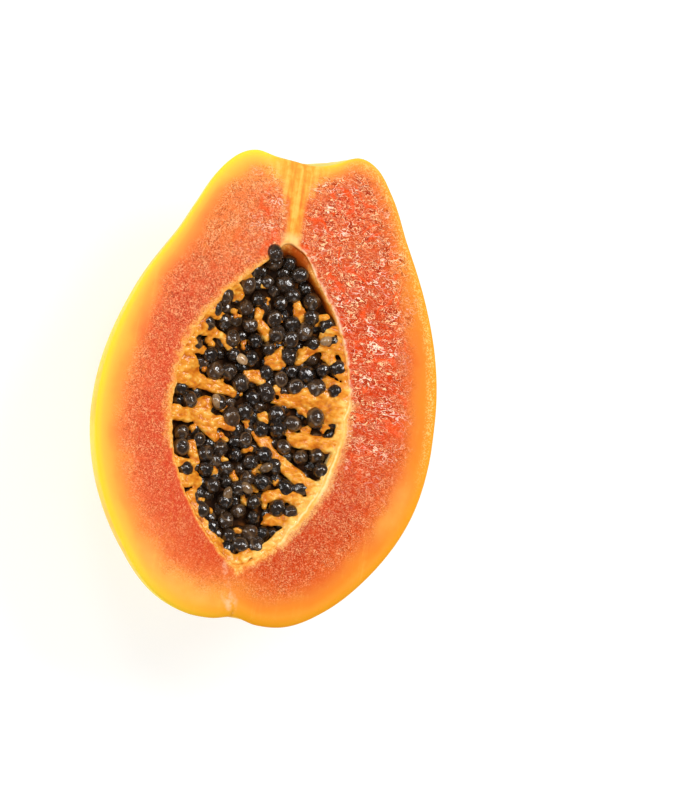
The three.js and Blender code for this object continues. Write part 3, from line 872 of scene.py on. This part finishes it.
def pulp_material():
    """Seed pulp: deep yellow-orange fibres, soft and wet, with painted shade in its hollows and painted
    light on its crests.
    """
    n = Nodes("seed_pulp")
    lit_crest = n.value("lit_crest") + (n.noise(800, 2, 0.6) - 0.5) * 0.5
    # Dark in the hollows and pale on the crests: painted shade and painted light.
    colour = n.ramp(lit_crest, [
        (0, 182, 88, 8), (0.3, 216, 122, 20), (0.6, 234, 152, 42), (1, 252, 200, 100),
    ])
    normal = n.bump(n.noise(900, 2, 0.6, n.stretch((0.5, 1, 1))), 0.0005, 0.6)
    n.set(Base_Color=colour, Roughness=0.36, Normal=normal, Coat_Normal=normal)
    n.set(Subsurface_Weight=0.15, Subsurface_Radius=(1, 0.45, 0.1), Subsurface_Scale=0.001)
    n.set(Coat_Weight=0.5, Coat_Roughness=0.1, Coat_IOR=1.6, Specular_IOR_Level=0.12)
    return n.material


def bed_shade_material():
    """Dark wet pulp and seeds seen only through gaps: near black, as painted shade between the seeds."""
    n = Nodes("seed_bed")
    # Near black: painted shade in the gaps between the seeds, with some brown gel.
    colour = n.ramp(n.noise(260), [(0.35, 26, 16, 10), (0.55, 58, 32, 14), (0.7, 120, 66, 18)])
    normal = n.bump(n.noise(500), 0.001, 0.5)
    n.set(Base_Color=colour, Roughness=0.8, Normal=normal, Specular_IOR_Level=0.05)
    return n.material


# Where the looks of the flesh change: each value is given at points of the half

def on_plane(points):
    return points * np.array([1, 1, 0])


def line_share(points, line, soft):
    """1 on a line of (y, middle x, half width) marks, fading to 0 across its sides."""
    y, middle, half = np.array(sorted(line), float).T
    at_y = points[..., 1]
    off = np.abs(points[..., 0] - np.interp(at_y, y, middle)) / np.interp(at_y, y, half)
    ends = between((y[0] - 2, y[0] + 1, y[-1] - 1, y[-1] + 2), at_y)
    return smooth_step(1 + soft, 1 - soft, off) * ends


def slit_share(points, slits):
    """1 along narrow slits of (x at the lower end, lean, lower y, upper y)."""
    x, y = points[..., 0], points[..., 1]
    share = np.zeros(x.shape)
    for middle, lean, low, top in slits:
        off = np.abs(x - middle - lean * (y - low))
        share = np.maximum(share, smooth_step(0.9, 0.2, off) * between((low, low + 2, top - 2, top), y))
    return share


def wetness(points):
    """1 in the upper right of the cut face, where the flesh is most wrinkled and wet."""
    x, y = points[..., 0], points[..., 1]
    right = smooth_step(-6, 26, x + 0.15 * y)
    high = smooth_step(-45, 5, y)
    over_cavity = 0.6 * smooth_step(38, 52, y) * smooth_step(-24, -6, x)
    return np.maximum(right * high, over_cavity)


def cut_relief(points, from_skin, from_cavity):
    """Height of the knife's unevenness and of the wet wrinkles, strongest at the upper right."""
    fade = smooth_step(0.5, 4, from_skin) * smooth_step(0, 2.5, from_cavity)
    flat = on_plane(points)
    wet = wetness(points)
    broad = 0.35 * noise_at(flat, 17)
    folds = noise_at(flat, (5, 2.4, 1), 40)
    fine = noise_at(flat, (2.2, 1.5, 1), 80)
    return fade * (broad + (0.04 + 0.06 * wet) * folds + (0.04 + 0.08 * wet) * fine)


def ripeness(points, from_skin):
    """Depth at which the flesh reddens: sooner at the stem end, later at the blossom end."""
    y = points[:, 1]
    left = smooth_step(25, -5, points[:, 0])
    on_right = STEM_QUICKNESS * smooth_step(35, 70, y)
    on_left = SHOULDER_QUICKNESS * (smooth_step(0, 35, y) - 1.8 * smooth_step(54, 74, y))
    stem = on_right + (on_left - on_right) * left
    blossom = BLOSSOM_PALENESS * smooth_step(-25, -75, y) * (0.15 + 0.75 * left)
    return from_skin * (1 + stem - blossom)


def hollow_shade_share(points, from_cavity):
    """1 in the hollow under the stem, beside the topmost seed, where painted shade darkens the flesh."""
    off = np.hypot(points[:, 0] - STEM_HOLLOW[0], points[:, 1] - STEM_HOLLOW[1])
    near = smooth_step(STEM_HOLLOW_REACH, STEM_HOLLOW_REACH / 2, off)
    return near * smooth_step(0.7, 0.1, from_cavity)


def peach_share(points, from_skin):
    """1 where the flesh is paler: left of the blossom end, and inside the lower right of the rim."""
    x, y = points[:, 0], points[:, 1]
    blossom = smooth_step(-50, -64, y) * smooth_step(4, -12, x)
    blossom = blossom * between((2.5, 6, 8, 14), from_skin)
    low_right = smooth_step(18, 34, x) * between((-48, -36, -28, -14), y)
    low_right = low_right * between((3, 6, 8, 13), from_skin)
    return np.maximum(blossom, 0.7 * low_right)


def clear_flesh(points, from_cavity):
    """1 on the flesh, 0 at the cavity's edge and on the strand under the stem."""
    return smooth_step(0.5, 2.5, from_cavity) * (1 - line_share(points, STEM_STRAND, 0.5))


def wrinkle_share(points, from_skin, from_cavity):
    """1 where the wet flesh is wrinkled: nearer to the skin at the top of the face than lower down."""
    high = smooth_step(15, 50, points[:, 1])
    start = 7 - 6 * high + 4 * noise_at(on_plane(points), 8, 21)
    deep = smooth_step(start, start + 12 - 4 * high, from_skin)
    return wetness(points) * deep * clear_flesh(points, from_cavity)


def grain_share(points, from_skin, from_cavity):
    """1 where the flesh is most grainy: away from the skin, and in the upper half."""
    x, y = points[:, 0], points[:, 1]
    low_left = smooth_step(-25, -60, y) * smooth_step(20, 0, x)
    low_right = smooth_step(0, 20, x) * between((-64, -50, -25, 0), y)
    level = 0.65 + 0.35 * smooth_step(0, 40, y) - 0.35 * low_left + 0.12 * low_right
    right = smooth_step(0, 30, x) * smooth_step(45, 15, y)
    start = 5 + 3 * right + 3 * noise_at(on_plane(points), 7, 61)
    deep = smooth_step(start, start + 7, from_skin)
    return deep * clear_flesh(points, from_cavity) * np.maximum(level, wetness(points))


def fleck_share(points, from_skin):
    """1 in the flecked flesh just under the skin on the right."""
    right = smooth_step(10, 30, points[:, 0]) * smooth_step(-30, 0, points[:, 1])
    return between((0.6, 1.6, 3, 5.5), from_skin) * right


# Pieces

def quarter_turn(steps):
    return [math.pi / 2 * i / steps for i in range(1, steps + 1)]


class Half:
    """The half as rings of points, from the bottom over the skin and the cut into the cavity."""

    def __init__(self):
        theta = np.linspace(0, 2 * math.pi, AROUND, endpoint=False)
        degrees = np.degrees(theta)
        wide = between(WIDE_LIP_SPAN, np.mod(degrees + 180, 360) - 180)
        self.way = np.stack([np.cos(theta), np.sin(theta), 0 * theta], -1)
        self.outer = skin_points(self.way)
        self.edge = self.visible_edge(theta, degrees, wide)
        self.inner = np.zeros_like(self.outer)
        self.inner[:, :2] = CAVITY_CENTRE + self.way[:, :2] * self.edge[:, None]
        self.width = np.linalg.norm(self.inner - self.outer, axis=1)
        self.inward = (self.inner - self.outer) / self.width[:, None]
        self.along = np.cumsum(np.linalg.norm(self.inner - np.roll(self.inner, 1, axis=0), axis=1))
        self.shape_lip(degrees, wide)
        self.rings, self.from_skin, self.from_cavity = [], [], []
        self.band, self.band_place = [], []
        self.add_skin()
        self.add_cut()
        self.add_wall()

    def visible_edge(self, theta, degrees, wide):
        """Distance from the cavity's middle to its uneven edge."""
        edge = cavity_edge(theta)
        for outward, span in EDGE_SHIFTS:
            edge = edge + outward * between(span, degrees)
        edge = edge - LOWER_RIGHT_INSET * smooth_step(0, 0.6, wide)
        place = self.way * edge[:, None]
        for height, size, draw in EDGE_WAVES:
            edge = edge + height * noise_at(place, size, draw)
        return edge

    def shape_lip(self, degrees, wide):
        """Where the lip is banded, sharp or crisp, and how far it rounds inward and down."""
        self.banded = smooth_step(0, 0.35, wide)
        self.sharp = between(SHARP_LIP_SPAN, degrees)
        self.crisp = np.maximum(self.sharp, CRISP_LIP_SHARE * between(CRISP_LIP_SPAN, degrees))
        narrow = 1 - (1 - SHARP_LIP_SHARE) * self.crisp
        self.lip_round = LIP_ROUND * narrow + (WIDE_LIP_ROUND - LIP_ROUND) * wide
        self.lip_drop = LIP_DROP * narrow + (WIDE_LIP_DROP - LIP_DROP) * wide

    def add(self, points, from_skin, from_cavity, band=0, across=0):
        """One more ring, with its distances, its share of the pale band and its place across that."""
        nothing = np.zeros(AROUND)
        self.rings.append(points)
        self.from_skin.append(nothing + from_skin)
        self.from_cavity.append(nothing + from_cavity)
        self.band.append(nothing + band)
        self.band_place.append(np.stack([nothing + across, self.along, nothing], -1))

    def add_skin(self):
        rim_angle = np.arcsin(RIM_DROP / (np.linalg.norm(self.outer, axis=1) * DEPTH_SHARE))
        for i in range(1, SKIN_RINGS + 1):
            down = rim_angle + (math.pi / 2 - rim_angle) * (1 - i / SKIN_RINGS)
            way = self.way * np.cos(down)[:, None]
            way[:, 2] = -np.sin(down)
            self.add(skin_points(way), ON_SKIN, FAR)

    def profile(self):
        """Each ring of the cut face: how far it is from the rim, and how far it drops."""
        for turn in quarter_turn(RIM_RINGS):
            yield np.full(AROUND, RIM_ROUND * (1 - math.cos(turn))), RIM_DROP * (1 - math.sin(turn))
        for i in range(1, CUT_RINGS + 1):
            yield RIM_ROUND + (self.width - self.lip_round - RIM_ROUND) * i / CUT_RINGS, 0
        for turn in quarter_turn(LIP_RINGS):
            yield self.width - self.lip_round * (1 - math.sin(turn)), self.lip_drop * (1 - math.cos(turn))

    def add_cut(self):
        for off, drop in self.profile():
            points = self.outer + self.inward * off[:, None]
            points[:, 2] = -drop
            before_lip = self.width - off - self.lip_round
            band = self.banded * smooth_step(BAND_FADE, 0, before_lip)
            self.add(points, off, self.width - off, band, drop - before_lip)

    def add_wall(self):
        for i in range(1, WALL_RINGS + 1):
            share = math.cos(math.pi / 2 * i / (WALL_RINGS + 1))
            off = self.way[:, :2] * (self.edge * share)[:, None]
            deep = np.maximum(cavity_depth(off), self.lip_drop + WALL_LEAST_DROP * i)
            sunk = deep - self.lip_drop
            points = np.column_stack([CAVITY_CENTRE + off, -deep])
            band = self.banded * smooth_step(*BAND_SUNK, sunk)
            self.add(points, self.width, -sunk, band, self.lip_round + self.lip_drop + sunk)

    def each_ring(self, value, at_tips):
        """A value given round the ring, at every point of the half."""
        return np.append(np.tile(value, len(self.rings)), [at_tips, at_tips])


def flesh_and_skin():
    """The skin and the cut flesh in one closed mesh."""
    half = Half()
    lowest = -TO_ROW[2]
    tips = [[0, 0, lowest], [*CAVITY_CENTRE, -CAVITY_DEPTH_SHARE * CAVITY_HALF_WIDTH]]
    points = np.concatenate([*half.rings, tips])
    from_skin = np.append(np.concatenate(half.from_skin), [ON_SKIN, FAR])
    from_cavity = np.append(np.concatenate(half.from_cavity), [FAR, -CAVITY_HALF_WIDTH])
    on_cut = (from_skin > 0) & (from_cavity > 0)
    points[on_cut, 2] += cut_relief(points[on_cut], from_skin[on_cut], from_cavity[on_cut])
    points[:, 2] = np.maximum(points[:, 2], lowest)
    faces = shell_faces(AROUND, len(half.rings))
    skin_faces = (SKIN_RINGS - 1) * AROUND
    flesh_faces = (len(half.rings) - SKIN_RINGS) * AROUND
    kinds = np.repeat([0, 1, 0, 1], [skin_faces, flesh_faces, AROUND, AROUND])
    values = edge_values(half, from_skin, from_cavity)
    values.update(face_values(points, from_skin, from_cavity, values["band"]))
    values.update(line_values(points, on_cut))
    return make_piece("flesh_and_skin", points, faces, [skin_material(), flesh_material()], values, kinds)


def edge_values(half, from_skin, from_cavity):
    """Values that follow the edges of the cut: distances, the lip's fringe, its pale band, and where a
    painted glint runs along the sharp edge.
    """
    line = np.exp(-(((from_cavity - 0.9) / 0.6) ** 2))
    band_line = noise_at(np.concatenate(half.band_place), BAND_GRAIN)
    return {
        "from_skin": from_skin,
        "fringe": from_cavity * half.each_ring(1 + 3 * half.crisp, 1),
        # Where the painted glint runs along the sharp edge.
        "edge_glint": half.each_ring(half.sharp, 0) * line,
        "pale_edge": half.each_ring(half.banded, 0) * smooth_step(7.5, 2.5, from_cavity),
        "band": np.append(np.concatenate(half.band), [0, 0]),
        "band_line": np.append(band_line, [0, 0]),
    }


def face_values(points, from_skin, from_cavity, band):
    """Values that change over the face: ripeness, pale and wet flesh, and its fine texture."""
    x, y = points[:, 0], points[:, 1]
    return {
        "ripeness": ripeness(points, from_skin),
        "peach": peach_share(points, from_skin),
        "hollow_shade": hollow_shade_share(points, from_cavity),
        "wet": wetness(points),
        "wrinkled": wrinkle_share(points, from_skin, from_cavity) * (1 - band),
        "grain": grain_share(points, from_skin, from_cavity) * (1 - band),
        "fleck": fleck_share(points, from_skin),
        "right": smooth_step(-25, 30, x - 0.25 * y),
        "stem_end": smooth_step(25, 60, y),
        "stem_share": smooth_step(30, 80, y),
    }


def line_values(points, on_cut):
    """The strand under the stem and the seam at the blossom end, with their slits."""
    return {
        "strand": line_share(points, STEM_STRAND, 0.75) * on_cut,
        "slit": slit_share(points, STEM_SLITS) * on_cut,
        "seam": line_share(points, BLOSSOM_SEAM, 0.7) * on_cut,
        "crack": slit_share(points, [BLOSSOM_CRACK]) * on_cut,
        "cream": line_share(points, STEM_CREAM, 0.4) * on_cut,
    }


def drawn_place(random):
    """A random place in the box round the cavity."""
    x = CAVITY_CENTRE[0] + (2 * next(random) - 1) * CAVITY_HALF_WIDTH
    y = CAVITY_CENTRE[1] + (2 * next(random) - 1) * CAVITY_HALF_LENGTH
    return x, y


def in_cavity(x, y):
    return abs(x - CAVITY_CENTRE[0]) < cavity_half_width(y - CAVITY_CENTRE[1], SEED_MARGIN)


def clear_of(x, y, places, gap):
    return all(math.hypot(x - px, y - py) > gap for px, py in places)


def room_for_seed(x, y, places):
    """Whether a seed fits here, clear of the other seeds and of the solids' pulp."""
    if not in_cavity(x, y) or not clear_of(x, y, places, SEED_SPACING):
        return False
    for root, tip, thick in SIDE_STRANDS:
        run = Vector(tip) - Vector(root)
        share = min(max((Vector((x, y)) - Vector(root)).dot(run) / run.length_squared, 0), 1)
        if (Vector(root) + run * share - Vector((x, y))).length <= thick / 2 + SEED_ROOM:
            return False
    for (cx, cy), (wide, long) in CLUMPS:
        if math.hypot((x - cx) / (wide / 2 + SEED_ROOM), (y - cy) / (long / 2 + SEED_ROOM)) <= 1:
            return False
    return True


def laid_seeds():
    """Every seed as (x, y, tip, turn, lift, size): the solids' seeds, then smaller ones in the gaps."""
    random = random_numbers(SEED_DRAW)
    places = []
    for _ in range(SEED_TRIES):
        place = drawn_place(random)
        if room_for_seed(*place, places):
            places.append(place)
    laid = []
    for x, y in places:
        tip = (next(random) - 0.5) * math.pi
        turn = next(random) * math.pi
        lift = SEED_LIFT + (next(random) - 0.5) * SEED_LIFT_SPREAD
        laid.append((x, y, tip, turn, lift, TOP_SEED_SIZE))
    return laid + deep_seeds(places, random)


def deep_seeds(places, random):
    """Smaller seeds in the gaps between the places of the top ones."""
    laid = []
    for _ in range(SEED_TRIES):
        x, y = drawn_place(random)
        free = in_cavity(x, y) and clear_of(x, y, places, DEEP_SEED_CLEAR)
        if free and clear_of(x, y, [seed[:2] for seed in laid], DEEP_SEED_SPACING):
            tip = (next(random) - 0.5) * math.pi
            turn = next(random) * math.pi
            laid.append((x, y, tip, turn, DEEP_SEED_LIFT, DEEP_SEED_SIZE))
    return laid


def seeds(laid):
    """The dark seeds: lumpy balls with a faint ring, varied in size and tone."""
    random = random_numbers(SEED_TONE_DRAW)
    shapes, tones = [], []
    for x, y, tip, turn, lift, size in laid:
        spin = Matrix.Rotation(turn, 3, "Z") @ Matrix.Rotation(tip, 3, "X")
        varied = size * (1 + SEED_SIZE_SPREAD * (next(random) - 0.5))
        height = min(bed_height(x, y) + lift, -SEED_WIDTH / 2)
        shapes.append((spin @ (SEED_SHAPE * varied), np.array([x, y, height])))
        tones.append(next(random))
    loose = Matrix.Rotation(LOOSE_SEED_TURN, 3, "Z") @ SEED_SHAPE
    for place in LOOSE_SEEDS:
        shapes.append((loose, np.array(place)))
        tones.append(next(random))
    points, faces, unit = balls(shapes, *SEED_SIDES)
    ring = np.exp(-((unit[:, 2] - SEED_RING_AT) / SEED_RING_WIDTH) ** 2)
    ridge = ring - np.exp(-((unit[:, 2] - SEED_GROOVE_AT) / SEED_RING_WIDTH) ** 2)
    values = {
        "tone": np.repeat(tones, len(unit)),
        "ring": np.tile(np.clip(ridge, 0, 1), len(shapes)),
    }
    middles = np.repeat([middle for _, middle in shapes], len(unit), axis=0)
    lumps = SEED_LUMP * noise_at(points, SEED_LUMP_SIZE)
    swell = 1 + lumps + np.tile(SEED_RING_RISE * ridge, len(shapes))
    points = middles + (points - middles) * swell[:, None]
    return make_piece("seeds_dark", points, faces, [seed_material()], values)


def pale_seeds():
    """The few unripe seeds, longer and flatter, on top of the others."""
    shapes = []
    for x, y, degrees, _ in PALE_SEEDS:
        spin = Matrix.Rotation(math.radians(degrees), 3, "Z") @ Matrix.Rotation(PALE_SEED_TIP, 3, "X")
        middle = np.array([x, y, bed_height(x, y) + PALE_SEED_LIFT])
        shapes.append((spin @ Matrix.Diagonal(PALE_SEED_SIZE), middle))
    points, faces, unit = balls(shapes, *PALE_SEED_SIDES)
    lumps = PALE_SEED_LUMP * noise_at(points, PALE_SEED_LUMP_SIZE)
    points = points + lumps[:, None] * np.array([0.4, 0.4, 1])
    values = {"paleness": np.repeat([pale for *_, pale in PALE_SEEDS], len(unit))}
    return make_piece("seeds_pale", points, faces, [pale_seed_material()], values)


def run_points(run):
    """Close points along a strand: a smooth curve through its (x, y, radius) marks."""
    marks = np.array(run, float)
    ends = np.concatenate([[2 * marks[0] - marks[1]], marks, [2 * marks[-1] - marks[-2]]])
    found = []
    for i in range(1, len(ends) - 2):
        a, b, c, d = ends[i - 1:i + 3]
        steps = max(2, int(np.linalg.norm(c[:2] - b[:2]) / PULP_STEP))
        for t in np.linspace(0, 1, steps, endpoint=False):
            found.append(0.5 * (
                2 * b + (c - a) * t + (2 * a - 5 * b + 4 * c - d) * t**2 + (3 * b - a - 3 * c + d) * t**3
            ))
    found.append(marks[-1])
    return np.array(found)


def fibre_bundle(run, random):
    """Balls (x, y, radius, lift) along a few fibres, each wandering and swelling on its own."""
    path = run_points(run)
    step = np.gradient(path[:, :2], axis=0)
    step /= np.linalg.norm(step, axis=1)[:, None]
    across = np.stack([-step[:, 1], step[:, 0]], -1)
    place = np.arange(len(path))[:, None] * np.array([PULP_STEP, 0, 0])
    found = []
    for fibre in range(PULP_FIBRES):
        side = (fibre - (PULP_FIBRES - 1) / 2) * PULP_FIBRE_GAP
        draw = 100 * next(random)
        wander = side + PULP_WANDER * noise_at(place, PULP_WANDER_LENGTH, draw)
        swell = 1 + PULP_SWELL * noise_at(place, PULP_SWELL_LENGTH, draw + 40)
        lift = PULP_WANDER * noise_at(place, PULP_RISE_LENGTH, draw + 80)
        size = path[:, 2] * PULP_FIBRE_SHARE * swell
        middle = path[:, :2] + across * (path[:, 2] * wander)[:, None]
        found += np.column_stack([middle, size, lift]).tolist()
    return found


def pulp_bits(laid, random):
    """Small ragged bits of pulp, as balls, in the gaps between the top seeds."""
    top = [seed[:2] for seed in laid if seed[-1] == TOP_SEED_SIZE]
    bits, found = [], []
    for _ in range(PULP_BIT_TRIES):
        x, y = drawn_place(random)
        free = in_cavity(x, y) and clear_of(x, y, top, PULP_BIT_CLEAR)
        if free and clear_of(x, y, bits, PULP_BIT_APART):
            bits.append((x, y))
            for _ in range(PULP_BIT_LUMPS):
                size = PULP_BIT_SIZE * (0.5 + next(random))
                dx = PULP_BIT_REACH * (2 * next(random) - 1)
                dy = PULP_BIT_REACH * (2 * next(random) - 1)
                found.append((x + dx, y + dy, size, PULP_BIT_LIFT))
    return found


def pulp_height(x, y):
    """Height of the pulp's middle: on the seed bed, and rising to the cut face at the wall."""
    wall = cavity_half_width(y - CAVITY_CENTRE[1]) - abs(x - CAVITY_CENTRE[0])
    free = float(bed_height(x, y)) + PULP_LIFT if wall > PULP_OUTSIDE else -PULP_EDGE_DEPTH
    return free + (-PULP_EDGE_DEPTH - free) * float(smooth_step(PULP_WALL_REACH, 0, wall))


def pulp_paleness(points):
    """How much paler the pulp is where it joins the wall at the lower right."""
    wall = cavity_half_width(points[:, 1] - CAVITY_CENTRE[1]) - (points[:, 0] - CAVITY_CENTRE[0])
    return PULP_PALENESS * smooth_step(7, 1, wall) * smooth_step(12, -12, points[:, 1])


def pulp(laid):
    """Strands and bits of pulp: overlapping balls, fused and roughened."""
    random = random_numbers(PULP_DRAW)
    marks = []
    for run in PULP_RUNS:
        marks += fibre_bundle(run, random)
    marks += pulp_bits(laid, random)
    shapes = []
    for x, y, size, up in marks:
        high = PULP_FLAT * size
        z = min(pulp_height(x, y) + up, -PULP_BALL_TOP - high)
        shapes.append((np.diag([size, size, high]), np.array([x, y, z])))
    points, faces, _ = balls(shapes, *PULP_SIDES)
    piece = make_piece("pulp", points, faces, [])
    fuse(piece)
    roughen(piece.data)
    return piece


def fuse(piece):
    """One skin round all the balls of a piece, a little softened."""
    remesh = piece.modifiers.new("fuse", "REMESH")
    remesh.mode = "VOXEL"
    remesh.voxel_size = PULP_VOXEL * MM
    soften = piece.modifiers.new("soften", "SMOOTH")
    soften.factor = PULP_SOFTENING
    soften.iterations = PULP_SOFT_STEPS
    shown = piece.evaluated_get(bpy.context.evaluated_depsgraph_get())
    fused = bpy.data.meshes.new_from_object(shown)
    piece.modifiers.clear()
    piece.data = fused


def roughen(mesh):
    """Lumps, fibres and grains on the fused pulp, with painted light along their crests and painted shade
    between them, and paler where the pulp joins the wall.
    """
    place = np.zeros(len(mesh.vertices) * 3)
    mesh.vertices.foreach_get("co", place)
    place = place.reshape(-1, 3) / MM
    normals = np.array([vertex.normal for vertex in mesh.vertices])
    rise, level = 0, PULP_TONE
    for size, draw, height, tone in PULP_RELIEF:
        wave = noise_at(place, size, draw)
        rise = rise + height * wave
        level = level + tone * wave
    place = place + normals * rise[:, None]
    add_value(mesh, "lit_crest", level + pulp_paleness(place - TO_ROW))
    place[:, 2] = np.minimum(place[:, 2], TO_ROW[2] - PULP_TOP)
    mesh.vertices.foreach_set("co", (place * MM).ravel())
    mesh.materials.clear()
    mesh.materials.append(pulp_material())
    mesh.polygons.foreach_set("use_smooth", np.ones(len(mesh.polygons), bool))
    mesh.update()


def seed_bed():
    """The bed under the seeds, dark with painted shade: a closed lens that fills the cavity below them."""
    theta = np.linspace(0, 2 * math.pi, BED_AROUND, endpoint=False)
    around = np.stack([np.cos(theta), np.sin(theta)], -1)
    edge = cavity_edge(theta) - BED_EDGE_GAP
    top, under = [], []
    for i in range(BED_RINGS):
        off = around * (edge * (1 - i / BED_RINGS))[:, None]
        place = CAVITY_CENTRE + off
        height = bed_height(place[:, 0], place[:, 1]) - BED_SINK
        wall = np.minimum(-cavity_depth(off) + BED_WALL_GAP, height - BED_LEAST)
        top.append(np.column_stack([place, height]))
        under.append(np.column_stack([place, wall]))
    middle_top = [*CAVITY_CENTRE, -BED_MIDDLE_DEPTH - BED_SINK]
    middle_under = [*CAVITY_CENTRE, -CAVITY_DEPTH_SHARE * CAVITY_HALF_WIDTH + BED_WALL_GAP]
    points = np.concatenate([*under[::-1], *top, [middle_under, middle_top]])
    return make_piece("seed_bed", points, shell_faces(BED_AROUND, 2 * BED_RINGS), [bed_shade_material()])


half = flesh_and_skin()
laid = laid_seeds()
pulp_piece = pulp(laid)
dark_seeds = seeds(laid)
unripe_seeds = pale_seeds()
bed = seed_bed()

for piece in (half, pulp_piece, dark_seeds, unripe_seeds, bed):
    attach(piece, "root")
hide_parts("papaya_half")
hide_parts("seed_mass")


# Stage, light and camera

def floor_material():
    """A pale floor that glows white away from the fruit and not near it, which paints a soft shade under
    the fruit.
    """
    n = Nodes("pale_floor")
    colour = n.mix(n.noise(6), *FLOOR_GREYS)
    # The glow fades near the fruit: painted shade under it.
    glow = n.span(n.length(n.place), *FLOOR_GLOW_REACH, 0, FLOOR_GLOW)
    n.set(Base_Color=colour, Roughness=0.7, Emission_Color=WHITE, Emission_Strength=glow)
    return n.material


def make_floor():
    mesh = bpy.data.meshes.new("floor")
    corners = [(FLOOR_HALF * x, FLOOR_HALF * y, 0) for x, y in ((-1, -1), (1, -1), (1, 1), (-1, 1))]
    mesh.from_pydata(corners, [], [(0, 1, 2, 3)])
    mesh.materials.append(floor_material())
    floor = put("floor", mesh)


def soft_light(name, place, size, power):
    """A round lamp of this size that faces the fruit."""
    light = bpy.data.lights.new(name, "AREA")
    light.shape = "DISK"
    light.size = size
    light.energy = power
    lamp = put(name, light)
    lamp.location = place
    lamp.rotation_mode = "QUATERNION"
    lamp.rotation_quaternion = (LAMP_AIM - Vector(place)).to_track_quat("-Z", "Y")


def make_camera():
    """The photograph's view: nearly straight down, with the fruit's middle at its pixel."""
    back = Vector((
        -math.tan(math.radians(VIEW_LEAN_LEFT)),
        -math.tan(math.radians(VIEW_LEAN_BLOSSOM)),
        1,
    )).normalized()
    right = Vector((0, 1, 0)).cross(back).normalized()
    up = back.cross(right)
    roll = math.radians(VIEW_ROLL)
    turned_right = right * math.cos(roll) + up * math.sin(roll)
    turned_up = up * math.cos(roll) - right * math.sin(roll)
    off_right = (IMAGE_WIDTH / 2 - FRUIT_PIXEL[0]) / PIXELS_PER_MM
    off_up = (FRUIT_PIXEL[1] - IMAGE_HEIGHT / 2) / PIXELS_PER_MM
    aim = Vector(TO_ROW) + turned_right * off_right + turned_up * off_up
    data = bpy.data.cameras.new("camera")
    data.sensor_width = SENSOR_WIDTH
    data.lens = SENSOR_WIDTH * CAMERA_DISTANCE / (IMAGE_HEIGHT / PIXELS_PER_MM * MM)
    camera = put("camera", data)
    facing = Matrix((turned_right, turned_up, back)).transposed().to_4x4()
    camera.matrix_world = Matrix.Translation(aim * MM + back * CAMERA_DISTANCE) @ facing
    bpy.context.scene.camera = camera


def make_world():
    """A white room, dimmer in reflections, so that wet surfaces show the lamps and not the room."""
    world = bpy.data.worlds.new("studio")
    world.use_nodes = True
    tree = world.node_tree
    path = tree.nodes.new("ShaderNodeLightPath")
    strength = tree.nodes.new("ShaderNodeMapRange")
    strength.inputs["To Min"].default_value = ROOM_LIGHT
    strength.inputs["To Max"].default_value = ROOM_REFLECTION
    tree.links.new(path.outputs["Is Glossy Ray"], strength.inputs["Value"])
    tree.links.new(strength.outputs["Result"], tree.nodes["Background"].inputs["Strength"])
    tree.nodes["Background"].inputs["Color"].default_value = WHITE
    bpy.context.scene.world = world


make_floor()
make_world()
make_camera()
for lamp in LAMPS:
    soft_light(*lamp)
bpy.context.scene.view_settings.view_transform = "Standard"
